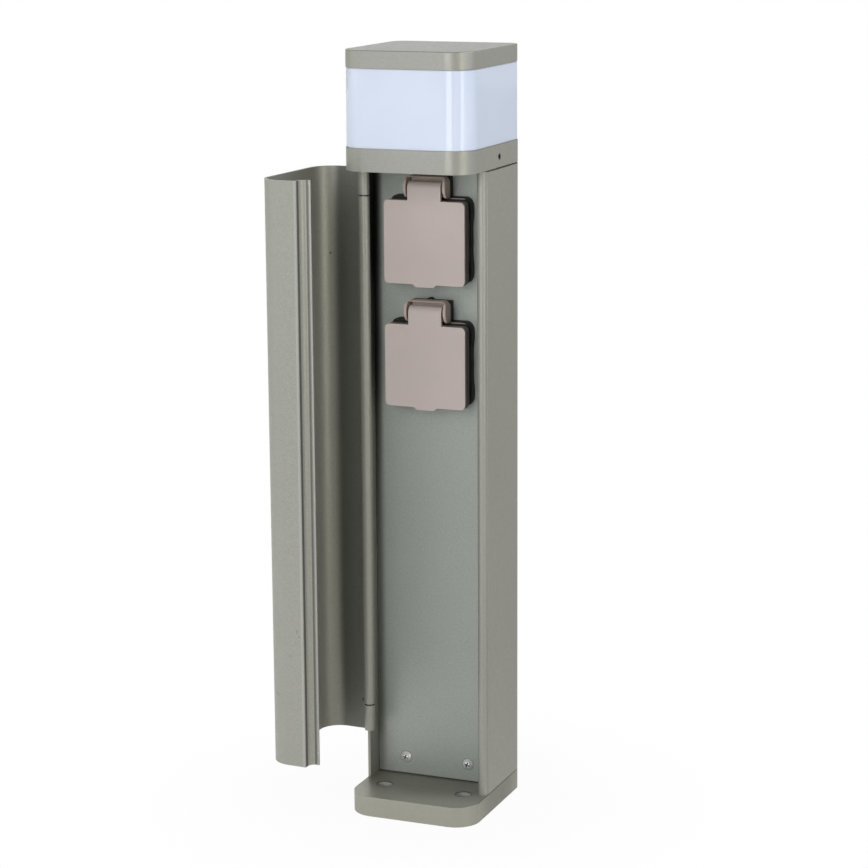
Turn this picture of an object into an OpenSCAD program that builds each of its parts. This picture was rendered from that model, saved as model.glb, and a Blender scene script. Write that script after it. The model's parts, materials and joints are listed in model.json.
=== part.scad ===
// Garden lamp post with two lidded sockets behind a hinged door.
// Origin: centre of the base plate's bottom face. +Z up, -Y is the open front, +X is the latch side.

/* [Post] */
// Overall width of the post, side to side
post_w = 90; // [84:1:110]
// Overall depth of the post, front to back
post_d = 97.5; // [92:0.5:120]
// Outer radius of the two front corners
corner_r = 17; // [14:0.5:19]
// Outer radius of the two rear corners
rear_r = 10; // [9:0.5:16]
// Wall of the column extrusion
wall_t = 1.8; // [1.5:0.1:2.4]
// Height of the column extrusion
column_h = 420.1; // [412:0.1:520]
// Distance of the left wall's front edge behind the hinge line
hinge_edge_gap = 4.3; // [4.2:0.1:5]

/* [Base] */
// Thickness of the base plate
base_t = 13.8; // [11:0.1:20]
// Distance between the fixing holes, side to side
bolt_dx = 57.6; // [50:0.2:60]
// Distance between the fixing holes, front to back
bolt_dy = 41.8; // [36:0.2:48]
// Radius of each fixing hole
bolt_r = 5.25; // [3.5:0.25:6]
// Radius of the cable hole in the base plate
cable_hole_r = 9; // [7:0.5:10]
// Distance of the cable hole behind the middle of the base
cable_y = 24; // [23:0.5:26]
// Radius left for the cable in the grommet
cable_r = 5.5; // [4:0.5:6]

/* [Panel] */
// Place of the panel's front face, behind the middle of the post
panel_y = 3.3; // [2.5:0.1:5]
// Thickness of the panel
panel_t = 2; // [1.5:0.1:2.5]
// Height of the two panel screws above the ground
panel_screw_z = 26.3; // [25:0.1:30]
// Distance between the two panel screws
panel_screw_dx = 45.4; // [40:0.2:50]

/* [Door] */
// Angle by which the door stands open
door_open = 92.6; // [0:0.1:93]
// Sheet thickness of the door
door_t = 1.6; // [1.4:0.1:2]
// Gap between the base plate and the door, where cables leave
door_lift = 35.4; // [25:0.1:45]
// Length of the hinge knuckle at each end
knuckle_h = 18; // [12:1:26]
// Outer corner radius of the door
door_r = 15.4; // [13:0.2:16]
// Outer radius of the hinge tube
tube_r = 3.6; // [3.4:0.1:3.7]
// Radius of the hinge pins
pin_r = 2; // [1.5:0.1:2.2]
// Distance of the hinge line in front of the middle of the post
hinge_y = 15.6; // [14:0.2:16.4]
// Radius of the latch bead on the right wall
bead_r = 3.3; // [2.8:0.1:3.5]

/* [Sockets] */
// Distance of the upper socket's middle below the column's top
well_drop = 48.4; // [48:0.1:60]
// Distance between the two sockets
socket_pitch = 81.9; // [80:0.1:100]
// Width of a lid
lid_w = 56.6; // [56.4:0.2:60]
// Height of a lid
lid_h = 54.9; // [54.7:0.2:56]
// Distance of the lid's face in front of the panel
lid_out = 16.9; // [16.7:0.1:20]
// Radius of the plug well
well_r = 19.5; // [19:0.1:19.8]
// Depth of the plug well
well_depth = 17.5; // [16:0.5:19]
// Distance between the two contact holes
contact_dx = 19; // [18.5:0.5:19.5]

/* [Lamp head] */
// Dark joint between the column and the lamp collar
head_gap = 0.7; // [0.4:0.1:1.2]
// Height of the lamp collar
collar_h = 14.7; // [14:0.1:18]
// Height of the diffuser band, seals included
lens_h = 51; // [45:0.5:80]
// Height of the top cap
cap_h = 11.4; // [10:0.2:16]
// Wall of the diffuser
lens_t = 3; // [2.5:0.1:4]
// Step by which the diffuser stands back from the collar
lens_inset = 0.35; // [0.2:0.05:1]

/* [Hidden] */
$fn = 96;

eps = 0.01;
fit = 0.3;
run_gap = 0.05;
through = 1;
half_w = post_w / 2;
half_d = post_d / 2;
column_top = base_t + column_h;
well_z = column_top - well_drop;
well_low_z = well_z - socket_pitch;
panel_back = panel_y + panel_t;
panel_top = column_top - 0.6;
panel_low = base_t + 0.2;
inner_w = post_w - 2 * wall_t;

// Screw ports of the extrusion, two behind the panel and two in the back corners
port_r = 3.3;
port_bore = 1.7;
port_sink = 0.4;
port_x = half_w - wall_t - port_r + port_sink;
port_front_y = panel_back + fit + port_r;
port_rear_in = (rear_r - wall_t - port_r + port_sink) * sqrt(0.5);
port_rear_x = half_w - rear_r + port_rear_in;
port_rear_y = half_d - rear_r + port_rear_in;
port_places = [for (sx = [-1, 1], p = [[port_x, port_front_y], [port_rear_x, port_rear_y]]) [sx * p[0], p[1]]];

// Hinge line, knuckles and pins
hinge_x = half_w - tube_r;
door_bottom = base_t + door_lift;
door_top = column_top - 0.2;
seam = 0.7;
washer_t = 0.4;
knuckle_low = door_bottom + 0.35;
knuckle_high = door_top - knuckle_h;
tube_low = knuckle_low + knuckle_h + seam;
tube_high = knuckle_high - seam;
pin_depth = 24;
pin_reach = pin_depth - 2;
pin_in = 0.6;
pin_hold = 0.03;
notch_r = tube_r + 0.8;
edge_left_y = -hinge_y + hinge_edge_gap;
foot_in = 0.2;
foot_w = 2.3;
foot_rise = 2.2;
foot_t = 1.8;

// Latch bead and the lip that closes over it
bead_in = 0.4;
bead_x = half_w - bead_in - bead_r;
lip_off = [0.2, -0.4];
lip_gap = 0.55;
lip_r = bead_r + norm(lip_off) + lip_gap;
lip_t = 1.4;
lip_over = 0.3;
lip_end_y = -hinge_y + 0.5;
lip_x = bead_x + lip_off[0] - lip_r - lip_t;
ridge_r = 0.85;
door_end_y = -hinge_y + lip_off[1] - lip_r;

// Bracket on the base plate and its screws
bracket_t = 2.5;
bracket_leg = 26;
bracket_w = 68;
bracket_foot_w = 38;
bracket_foot_end = cable_y + 14;
bracket_hole_x = bracket_foot_w / 2 - 4.5;
bracket_holes = [for (sx = [-1, 1], y = [panel_back + 7, bracket_foot_end - 4]) [sx * bracket_hole_x, y]];
m4_r = 1.8;
m4_free_r = 2.1;
m4_head_r = 3.8;
m4_head_z = 0.5;
m4_head_h = 2.5;
m4_past = 1.5;
bush_rim_w = 2.5;
bush_rim_t = 2;

// Panel screws
panel_screw_r = 2;
panel_screw_free_r = 2.2;
panel_head_r = 3.75;
panel_head_h = 2.2;
panel_screw_past = 3;
dome_r = 1.15 * panel_head_r;
cross_w = 0.24 * panel_head_r;
cross_turn = 20;

// Socket unit, seen along +Y, with its heights counted from the middle of the well
lid_face = panel_y - lid_out;
lid_t = 2.2;
skirt_t = 1.8;
skirt_depth = 7.5;
lid_r = 3.2;
tower_w = lid_w - 2 * skirt_t - 4.4;
tower_h = lid_h - 2 * skirt_t - 4.3;
tower_r = 3;
seal_t = 1.9;
seal_in = 0.3;
seal_w = 2.4;
tower_face = lid_face + lid_t + seal_t + fit;
gasket_t = 5.2;
gasket_w = 56.6;
gasket_r = 5;
gasket_tab_w = 27.4;
gasket_tab_in = 0.7;
nub = [-1.5, -1.2];
nub_r = 2;
flange_t = 2;
flange_w = 55.3;
flange_r = 4.5;
flange_up = 1.25;
flange_back = panel_y - gasket_t;
flange_face = flange_back - flange_t;
insert_wall = 1.6;
insert_r = well_r + insert_wall;
insert_free = 0.5;
insert_floor = 3;
insert_back = 34;
well_floor = tower_face + well_depth;
chamber_r = 19;
contact_r = 2.4;
contact_hole_r = 2.75;
contact_end = 3;
sleeve_r = 3.2;
sleeve_end = 26;
clip_w = 7;
clip_t = 0.8;
clip_z = well_r - 1.5 * clip_t;
clip_front = tower_face + 3;
clip_bulge_y = tower_face + 7;
clip_bulge_r = 2.2;
clip_tail = 3.8;
screw_px = tower_w / 2 - 4;
screw_pz = tower_h / 2 - 4;
m3_r = 1.5;
m3_free_r = 1.7;
m3_head_r = 2.9;
m3_head_h = 1.8;
m3_past = 4;
m3_slot = [3.2, 1.8, 0.8];
nut_r = 3.17;
nut_t = 2.4;

// Lid hinge: pin, tongue over the pin and the hood that carries it
pivot_out = 4.6;
pivot_y = lid_face + pivot_out;
pivot_up = lid_h / 2 + 7.9;
lid_pin_r = 1.2;
tongue_w = 23.2;
tongue_in_r = pivot_out - lid_t;
tongue_back = 12;
knuckle_w = 5.6;
knuckle_r = tongue_in_r + 0.2;
spring_r = 2;
spring_in_r = 1.45;
tab_h = 1.85;
tab_top_x = 8.2;
tab_low_x = 6.3;
slot_w = tongue_w + 2.6;
hood_w = 29.4;
hood_up = 8;
hood_down = 6.2;
hood_front = 4.8;
hood_y = pivot_y - hood_front;
hood_bar_t = 0.9;
hood_bar_out = 3.1;
hood_round = 8;
hood_corner = 4;
hood_top = pivot_up + hood_up;
hood_pad_w = hood_w - 2;
hood_pad_h = 30;
pin_cover = 0.7;

// Fittings inside the post
wire_r = 2.5;
wire_y = half_d - wall_t - 5.2;
block_up = 96.2;
block_z = base_t + block_up;
block_size = [36, 20, 22];
clamp_size = [6, 10, 16];
clamp_step = 11;
clamp_y = panel_back + 12;
clamp_z = block_z + block_size[2] / 2;
clamp_play = 0.4;
clamp_wire_r = 1.8;
clamp_screw_r = 1.4;
tool_r = 2;
driver_drop = 113.6;
driver_z = well_low_z - driver_drop;
driver_size = [30, 20, 58];
driver_foot = [16, 3, 6];

// Lamp head
collar_z = column_top + head_gap;
lens_z = collar_z + collar_h;
cap_z = lens_z + lens_h;
seal_h = 0.5;
seal_back = 0.6;
collar_wall = 3;
collar_floor = 2.5;
cap_plate = 3;
cap_inset = 0.3;
joint_in = 0.4;
rod_in = [12, 13.25];
rod_x = half_w - rod_in[0];
rod_y = half_d - rod_in[1];
rod_r = 2;
rod_low = collar_z + 0.6;
rod_head_r = 3.6;
rod_head_h = 2.4;
rod_grip = 5;
boss_r = 4.5;
lamp_plate_t = 2;
lamp_plate_z = lens_z - 0.6 - lamp_plate_t;
rim_h = 4;
rim_t = 1.5;
rim_in = lens_inset + lens_t + fit;
board_z = lamp_plate_z + lamp_plate_t;
board_t = 1.6;
board_w = 58;
board_r = 3;
led_grid = 4;
led_step = 13;
led_size = [5, 5, 1.6];
ear_gap = 1.5;
ear_x = half_w - collar_wall - ear_gap;
ear_t = 2;
ear_end_y = panel_back + 14;
ear_top = lamp_plate_z - 0.5;
ear_step = collar_z + 0.6;
set_screw_y = 5.7;
set_screw_z = collar_z + 6.9;
set_screw_r = 1.5;
set_screw_in = 0.5;
set_screw_hex = 0.75;
set_screw_hex_h = 1.5;
spigot_t = 2.5;
wire_hole_y = 22;
wire_hole_r = 9;
port_screw_h = 16;

paint = [0.62, 0.62, 0.58];
paint_panel = [0.50, 0.52, 0.50];
taupe = [0.70, 0.65, 0.62];
black = [0.06, 0.06, 0.06];
steel = [0.80, 0.80, 0.82];
brass = [0.80, 0.66, 0.35];
opal = [0.86, 0.90, 0.96];
grey = [0.45, 0.45, 0.46];

// Rounded rectangle with true arcs, centred
module rrect(w, d, r) {
    square([w - 2 * r, d], center = true);
    square([w, d - 2 * r], center = true);
    for (sx = [-1, 1], sy = [-1, 1])
        translate([sx * (w / 2 - r), sy * (d / 2 - r)]) circle(r);
}

// Rounded rectangular ring, t thick inwards
module rring(w, d, r, t) {
    difference() {
        rrect(w, d, r);
        rrect(w - 2 * t, d - 2 * t, r - t);
    }
}

// Plan outline of the post, moved in by an inset; large radii in front, small ones behind
module section(inset) {
    x = half_w - inset;
    y = half_d - inset;
    front = corner_r - inset;
    rear = rear_r - inset;
    square([2 * (x - front), 2 * y], center = true);
    translate([-x, front - y]) square([2 * x, 2 * y - front - rear]);
    translate([rear - x, front - y]) square([2 * (x - rear), 2 * y - front]);
    for (sx = [-1, 1]) {
        translate([sx * (x - front), front - y]) circle(front);
        translate([sx * (x - rear), y - rear]) circle(rear);
    }
}

// Ring between two insets of the post's outline
module section_ring(inset, t) {
    difference() {
        section(inset);
        section(inset + t);
    }
}

// Everything in front of the given depth, as a cutter in plan
module in_front_of(y) {
    translate([-post_w, -post_d]) square([2 * post_w, post_d + y]);
}

// Copies its children to the four places (+-x, +-y)
module four(x, y) {
    for (sx = [-1, 1], sy = [-1, 1]) translate([sx * x, sy * y]) children();
}

// Copies its children to the two places +-x
module pair_x(x) {
    for (sx = [-1, 1]) translate([sx * x, 0, 0]) children();
}

// Copies its children to the four places (+-x, +-z)
module four_xz(x, z) {
    for (sx = [-1, 1], sz = [-1, 1]) translate([sx * x, 0, sz * z]) children();
}

// Stands an XZ drawing up so that it runs from y0 back to y1
module along_y(y0, y1) {
    translate([0, y1, 0]) rotate([90, 0, 0]) linear_extrude(y1 - y0) children();
}

// Round bar along Y
module bar_y(r, y0, y1) {
    translate([0, y1, 0]) rotate([90, 0, 0]) cylinder(r = r, h = y1 - y0);
}

// Round bar along X, centred
module bar_x(r, length) {
    rotate([0, 90, 0]) cylinder(r = r, h = length, center = true);
}

// Round bore along Z that cuts clean through the span from z0 to z1
module bore_z(r, z0, z1) {
    translate([0, 0, z0 - through]) cylinder(r = r, h = z1 - z0 + 2 * through);
}

// Round bore along Y that cuts clean through the span from y0 to y1
module bore_y(r, y0, y1) {
    bar_y(r, y0 - through, y1 + through);
}

module at_upper() translate([0, 0, well_z]) children();
module at_lower() translate([0, 0, well_low_z]) children();

// The plate that stands on the ground
module base_plate() {
    color(paint) difference() {
        linear_extrude(base_t) section(0);
        four(bolt_dx / 2, bolt_dy / 2) bore_z(bolt_r, 0, base_t);
        translate([0, cable_y]) bore_z(cable_hole_r, 0, base_t);
        for (p = bracket_holes) translate([p[0], p[1]]) {
            bore_z(m4_free_r, 0, base_t);
            translate([0, 0, -through]) cylinder(r = m4_head_r + fit, h = through + m4_head_z + m4_head_h);
        }
    }
}

// Bracket that carries the column: a foot on the base plate and a front leg behind the panel
module base_bracket() {
    color(steel) difference() {
        union() {
            translate([-bracket_foot_w / 2, panel_back, base_t])
                cube([bracket_foot_w, bracket_foot_end - panel_back, bracket_t]);
            along_y(panel_back, panel_back + bracket_t)
                translate([0, base_t + bracket_leg / 2]) square([bracket_w, bracket_leg], center = true);
        }
        translate([0, cable_y]) bore_z(cable_hole_r + through, base_t, base_t + bracket_t);
        for (p = bracket_holes) translate([p[0], p[1]]) bore_z(m4_r, base_t, base_t + bracket_t);
        pair_x(panel_screw_dx / 2) translate([0, 0, panel_screw_z])
            bore_y(panel_screw_r, panel_back, panel_back + bracket_t);
    }
}

// Four screws from below that hold the bracket on the base plate
module bracket_screws() {
    color(steel) for (p = bracket_holes) translate([p[0], p[1], m4_head_z]) {
        cylinder(r = m4_head_r, h = m4_head_h);
        cylinder(r = m4_r, h = base_t + bracket_t + m4_past - m4_head_z);
    }
}

// Rubber bush that guards the cable in the base plate
module cable_grommet() {
    rim_z = base_t + bracket_t;
    color(black) translate([0, cable_y]) difference() {
        union() {
            translate([0, 0, base_t / 2]) cylinder(r = cable_hole_r, h = rim_z - base_t / 2);
            translate([0, 0, rim_z]) cylinder(r = cable_hole_r + bush_rim_w, h = bush_rim_t);
        }
        bore_z(cable_r, base_t / 2, rim_z + bush_rim_t);
    }
}

// Extruded column in plan: back shell, screw ports and the latch bead
module column_profile() {
    difference() {
        union() {
            difference() {
                section_ring(0, wall_t);
                translate([-post_w, -post_d]) square([post_w, post_d + edge_left_y]);
                in_front_of(-hinge_y);
            }
            translate([bead_x, -hinge_y]) circle(bead_r);
            for (p = port_places) translate(p) circle(port_r);
        }
        for (p = port_places) translate(p) circle(port_bore);
    }
}

// Hinge knuckle with its foot on the wall's front edge
module knuckle(z) {
    foot_x = -half_w + wall_t + foot_in;
    translate([0, 0, z]) {
        translate([-hinge_x, -hinge_y]) cylinder(r = tube_r, h = knuckle_h);
        translate([foot_x, -hinge_y + foot_rise]) cube([foot_w, hinge_edge_gap, knuckle_h]);
        translate([-half_w + foot_in, edge_left_y]) cube([wall_t + foot_w, foot_t, knuckle_h]);
    }
}

module column_body() {
    color(paint) difference() {
        union() {
            translate([0, 0, base_t]) linear_extrude(column_h) column_profile();
            knuckle(knuckle_low);
            knuckle(knuckle_high);
        }
        translate([-hinge_x, -hinge_y, door_bottom])
            cylinder(r = pin_r + pin_hold, h = door_top - door_bottom);
        translate([0, 0, column_top - spigot_t]) linear_extrude(spigot_t + through) difference() {
            section(wall_t);
            in_front_of(panel_back);
        }
    }
}

// Recessed panel that carries the sockets
module front_panel() {
    color(paint_panel) difference() {
        translate([-inner_w / 2 + fit, panel_y, panel_low])
            cube([inner_w - 2 * fit, panel_t, panel_top - panel_low]);
        pair_x(panel_screw_dx / 2) translate([0, 0, panel_screw_z])
            bore_y(panel_screw_free_r, panel_y, panel_back);
        for (z = [well_z, well_low_z]) translate([0, 0, z]) {
            bore_y(insert_r + insert_free, panel_y, panel_back);
            four_xz(screw_px, screw_pz) bore_y(m3_free_r, panel_y, panel_back);
        }
    }
}

// Pan heads with a cross recess, their faces towards -Y
module panel_screws() {
    color(steel) for (sx = [-1, 1]) translate([sx * panel_screw_dx / 2, panel_y, panel_screw_z])
        difference() {
            union() {
                intersection() {
                    bar_y(panel_head_r, -panel_head_h, 0);
                    translate([0, dome_r - panel_head_h, 0]) sphere(dome_r);
                }
                bar_y(panel_screw_r, -eps, panel_t + bracket_t + panel_screw_past);
            }
            for (a = [0, 90]) rotate([0, a + cross_turn, 0]) translate([0, -panel_head_h, 0])
                cube([panel_head_r, panel_head_h, cross_w], center = true);
        }
}

// Door in plan, drawn closed: left wall, front, right wall and the latch lip
module door_profile() {
    difference() {
        rring(post_w, post_d, door_r, door_t);
        translate([-post_w, -hinge_y]) square([2 * post_w, post_d]);
        translate([0, door_end_y]) square([post_w, post_d]);
    }
    translate([bead_x, -hinge_y] + lip_off) difference() {
        circle(lip_r + lip_t);
        circle(lip_r);
        translate([-post_w, 0]) square([2 * post_w, post_d]);
        translate([lip_over, -post_d]) square([post_w, post_d]);
    }
    translate([lip_x, -hinge_y + lip_off[1] - eps]) square([lip_t, lip_end_y + hinge_y - lip_off[1]]);
    translate([lip_x + lip_t + lip_over - ridge_r, lip_end_y]) circle(ridge_r);
    translate([lip_x + lip_r + lip_t, door_end_y - door_t]) square([half_w - lip_x - lip_r - lip_t, door_t]);
}

module door_closed() {
    difference() {
        union() {
            translate([0, 0, door_bottom]) linear_extrude(door_top - door_bottom) door_profile();
            translate([-hinge_x, -hinge_y, tube_low]) cylinder(r = tube_r, h = tube_high - tube_low);
        }
        translate([-hinge_x, -hinge_y, door_bottom - through])
            cylinder(r = notch_r, h = tube_low - door_bottom + through);
        translate([-hinge_x, -hinge_y, tube_high]) cylinder(r = notch_r, h = door_top - tube_high + through);
        for (z = [tube_low - through, tube_high - pin_depth]) translate([-hinge_x, -hinge_y, z])
            cylinder(r = pin_r + run_gap, h = pin_depth + through);
    }
}

module door_shell() {
    color(paint) translate([-hinge_x, -hinge_y]) rotate(-door_open) translate([hinge_x, hinge_y])
        door_closed();
}

// Two pins, driven through the knuckles into the door's tube
module hinge_pins() {
    color(steel) translate([-hinge_x, -hinge_y]) {
        translate([0, 0, knuckle_low + pin_in]) cylinder(r = pin_r, h = tube_low + pin_reach - knuckle_low - pin_in);
        translate([0, 0, tube_high - pin_reach]) cylinder(r = pin_r, h = door_top - pin_in - tube_high + pin_reach);
    }
}

// Slip washers in the two hinge seams
module hinge_washers() {
    color(black) translate([-hinge_x, -hinge_y])
        for (z = [knuckle_low + knuckle_h, knuckle_high - washer_t]) translate([0, 0, z]) difference() {
            cylinder(r = tube_r - fit, h = washer_t);
            bore_z(pin_r + run_gap, 0, washer_t);
        }
}

// Rubber surround between a socket's flange and the panel
module gasket() {
    color(black) difference() {
        along_y(flange_back, panel_y) {
            translate([0, flange_up]) rrect(gasket_w, gasket_w, gasket_r);
            translate([-gasket_tab_w / 2, 0]) square([gasket_tab_w, hood_top - gasket_tab_in]);
            translate([nub[0], hood_top + nub[1]]) circle(nub_r);
        }
        bore_y(insert_r + insert_free, flange_back, panel_y);
        four_xz(screw_px, screw_pz) bore_y(m3_free_r, flange_back, panel_y);
    }
}

// Side outline of a hinge ear, drawn around the lid's pivot with y to the right and z up
module ear_profile() {
    intersection() {
        translate([hood_round - hood_front, (hood_up - hood_down) / 2]) circle(hood_round);
        translate([-hood_front, -hood_down]) square([flange_face - hood_y, hood_up + hood_down]);
    }
}

// Turns a YZ outline around the lid's pivot into a slab across X
module slab_x(width) {
    translate([-width / 2, pivot_y, pivot_up]) rotate([90, 0, 90]) linear_extrude(width) children();
}

// Two ears and the bar over the tongue
module hood() {
    intersection() {
        difference() {
            slab_x(hood_w) ear_profile();
            translate([-slot_w / 2, hood_y - through, pivot_up - hood_down - through])
                cube([slot_w, flange_face - hood_y + 2 * through, hood_down + through + hood_up - hood_bar_t]);
            translate([-slot_w / 2, hood_y - through, 0])
                cube([slot_w, lid_face + hood_bar_out - hood_y + through, hood_top + through]);
        }
        along_y(hood_y, flange_face + through) translate([0, hood_top - hood_pad_h / 2])
            rrect(hood_w, hood_pad_h, hood_corner);
    }
}

// Socket frame: flange, tower round the well and the hood that holds the lid's pin
module socket_frame() {
    color(taupe) difference() {
        union() {
            along_y(flange_face, flange_back) {
                translate([0, flange_up]) rrect(flange_w, flange_w, flange_r);
                translate([0, hood_top - fit - hood_pad_h / 2]) rrect(hood_pad_w, hood_pad_h, hood_corner);
            }
            along_y(tower_face, flange_face) rrect(tower_w, tower_h, tower_r);
            hood();
        }
        bore_y(insert_r + run_gap, tower_face, flange_back);
        four_xz(screw_px, screw_pz) {
            bore_y(m3_free_r, tower_face, flange_back);
            bar_y(m3_head_r + run_gap, tower_face - through, tower_face + m3_head_h);
        }
        translate([0, pivot_y, pivot_up]) bar_x(lid_pin_r + run_gap, hood_w - 2 * pin_cover);
    }
}

// Insulating cup of the plug well with the contact chamber behind it
module socket_insert() {
    floor_back = well_floor + insert_floor;
    color(grey) difference() {
        union() {
            bar_y(insert_r, tower_face, floor_back);
            bar_y(chamber_r, well_floor, insert_back);
        }
        bar_y(well_r, tower_face - through, well_floor);
        pair_x(contact_dx / 2) {
            bore_y(contact_hole_r, well_floor, floor_back);
            bar_y(sleeve_r + run_gap, floor_back, sleeve_end);
        }
        for (sz = [-1, 1]) translate([0, well_floor, sz * clip_z])
            cube([clip_w + fit, 2 * clip_tail + fit, 2 * clip_t], center = true);
    }
}

// Two brass contact sleeves
module contacts() {
    floor_back = well_floor + insert_floor;
    color(brass) pair_x(contact_dx / 2) difference() {
        bar_y(sleeve_r, floor_back, sleeve_end);
        bar_y(contact_r, floor_back - through, sleeve_end - contact_end);
    }
}

// Earth clips at the top and bottom of the well
module earth_clips() {
    color(steel) for (turn = [0, 180]) rotate([0, turn, 0]) translate([0, 0, clip_z]) {
        translate([-clip_w / 2, clip_front, -clip_t / 2])
            cube([clip_w, well_floor + clip_tail - clip_front, clip_t]);
        translate([0, clip_bulge_y, 0]) difference() {
            bar_x(clip_bulge_r, clip_w);
            translate([0, 0, clip_bulge_r]) cube([clip_w + through, 2 * clip_bulge_r, 2 * clip_bulge_r], center = true);
        }
    }
}

// Sprung lid with its skirt, finger tab and the tongue that wraps the pin
module lid() {
    color(taupe) difference() {
        union() {
            along_y(lid_face, lid_face + lid_t) {
                rrect(lid_w, lid_h, lid_r);
                translate([0, -lid_h / 2]) polygon([[-tab_top_x, skirt_t], [-tab_top_x, 0], [-tab_low_x, -tab_h],
                    [tab_low_x, -tab_h], [tab_top_x, 0], [tab_top_x, skirt_t]]);
                translate([-tongue_w / 2, 0]) square([tongue_w, pivot_up]);
            }
            along_y(lid_face, lid_face + skirt_depth) rring(lid_w, lid_h, lid_r, skirt_t);
            slab_x(tongue_w) difference() {
                circle(pivot_out);
                circle(tongue_in_r);
                translate([-post_w, -post_w]) square([2 * post_w, post_w]);
                rotate(-tongue_back) square(post_w);
            }
            for (sx = [-1, 1]) translate([sx * (tongue_w - knuckle_w) / 2, pivot_y, pivot_up])
                bar_x(knuckle_r, knuckle_w);
        }
        translate([0, pivot_y, pivot_up]) bar_x(lid_pin_r + run_gap, tongue_w + 2 * through);
    }
}

// Foam seal inside the lid
module lid_seal() {
    color(black) along_y(lid_face + lid_t, lid_face + lid_t + seal_t)
        rring(tower_w - 2 * seal_in, tower_h - 2 * seal_in, tower_r - seal_in, seal_w);
}

module lid_pin() {
    color(steel) translate([0, pivot_y, pivot_up]) bar_x(lid_pin_r, hood_w - 2 * pin_cover - run_gap);
}

// Closing spring round the lid's pin, between the tongue's two knuckles
module lid_spring() {
    length = tongue_w - 2 * knuckle_w - 2 * fit;
    color(steel) translate([0, pivot_y, pivot_up]) difference() {
        bar_x(spring_r, length);
        bar_x(spring_in_r, length + through);
    }
}

// Four screws for each socket, with their nuts behind the panel
module socket_screws() {
    color(steel) for (z = [well_z, well_low_z]) translate([0, 0, z])
        four_xz(screw_px, screw_pz) difference() {
            union() {
                bar_y(m3_head_r, tower_face, tower_face + m3_head_h);
                bar_y(m3_r, tower_face, panel_back + m3_past);
            }
            for (a = [45, 135]) rotate([0, a, 0]) translate([0, tower_face, 0]) cube(m3_slot, center = true);
        }
}

module socket_nuts() {
    color(steel) for (z = [well_z, well_low_z]) translate([0, 0, z])
        four_xz(screw_px, screw_pz) difference() {
            translate([0, panel_back + nut_t, 0]) rotate([90, 0, 0]) cylinder(r = nut_r, h = nut_t, $fn = 6);
            bore_y(m3_r + run_gap, panel_back, panel_back + nut_t);
        }
}

// Mains terminal block on the back of the panel
module terminal_block() {
    color([0.85, 0.85, 0.82]) difference() {
        translate([-block_size[0] / 2, panel_back, block_z]) cube(block_size);
        for (i = [-1, 0, 1]) translate([i * clamp_step, clamp_y, clamp_z]) {
            cube([clamp_size[0] + clamp_play, clamp_size[1] + clamp_play, block_size[2] + through], center = true);
            bar_y(tool_r, 0, block_size[1]);
        }
    }
}

module terminal_clamps() {
    color(brass) for (i = [-1, 0, 1]) translate([i * clamp_step, clamp_y, clamp_z]) difference() {
        cube(clamp_size, center = true);
        for (sz = [-1, 1]) translate([0, 0, sz * clamp_size[2] / 3]) {
            cylinder(r = clamp_wire_r, h = clamp_size[2] / 2, center = true);
            bar_y(clamp_screw_r, through, clamp_size[1]);
        }
    }
}

// LED supply on the back of the panel
module led_driver() {
    color([0.92, 0.92, 0.92]) {
        translate([-driver_size[0] / 2, panel_back, driver_z]) cube(driver_size);
        for (z = [driver_z - driver_foot[2], driver_z + driver_size[2]])
            translate([-driver_foot[0] / 2, panel_back, z]) cube(driver_foot);
    }
}

// Wires inside the post: riser behind the sockets with a branch to each fitting
module wiring_loom() {
    block_back = panel_back + block_size[1];
    driver_back = panel_back + driver_size[1];
    color([0.20, 0.20, 0.22]) {
        translate([0, wire_y, clamp_z]) {
            cylinder(r = wire_r, h = lamp_plate_z - clamp_z);
            sphere(wire_r);
        }
        for (p = [[clamp_z, block_back], [driver_z + driver_size[2] / 2, driver_back],
                [well_z, insert_back], [well_low_z, insert_back]])
            translate([0, 0, p[0]]) bar_y(wire_r, p[1], wire_y);
    }
}

// Bracket in the column's top, with two ears that the collar is clamped to
module head_spigot() {
    low = column_top - spigot_t;
    color(steel) difference() {
        union() {
            translate([0, 0, low]) linear_extrude(spigot_t) difference() {
                section(wall_t + fit);
                in_front_of(panel_back + fit);
            }
            for (sx = [-1, 1]) translate([sx * (ear_x - ear_t / 2) - ear_t / 2, 0, 0]) {
                translate([0, panel_back + fit, low]) cube([ear_t, ear_end_y - panel_back - fit, ear_top - low]);
                translate([0, 0, ear_step]) cube([ear_t, ear_end_y, ear_top - ear_step]);
            }
        }
        for (p = port_places) translate(p) bore_z(port_bore + fit, low, column_top);
        translate([0, wire_y]) bore_z(wire_r + through, low, column_top);
        translate([0, wire_hole_y]) bore_z(wire_hole_r + through, low, column_top);
    }
}

module spigot_screws() {
    color(steel) for (p = port_places) translate([p[0], p[1], column_top - port_screw_h])
        cylinder(r = port_bore, h = port_screw_h);
}

// Thin dark seal in the joint below the collar
module head_gasket() {
    color(black) translate([0, 0, column_top]) linear_extrude(head_gap) difference() {
        section_ring(joint_in, wall_t - joint_in);
        in_front_of(panel_back);
    }
}

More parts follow.
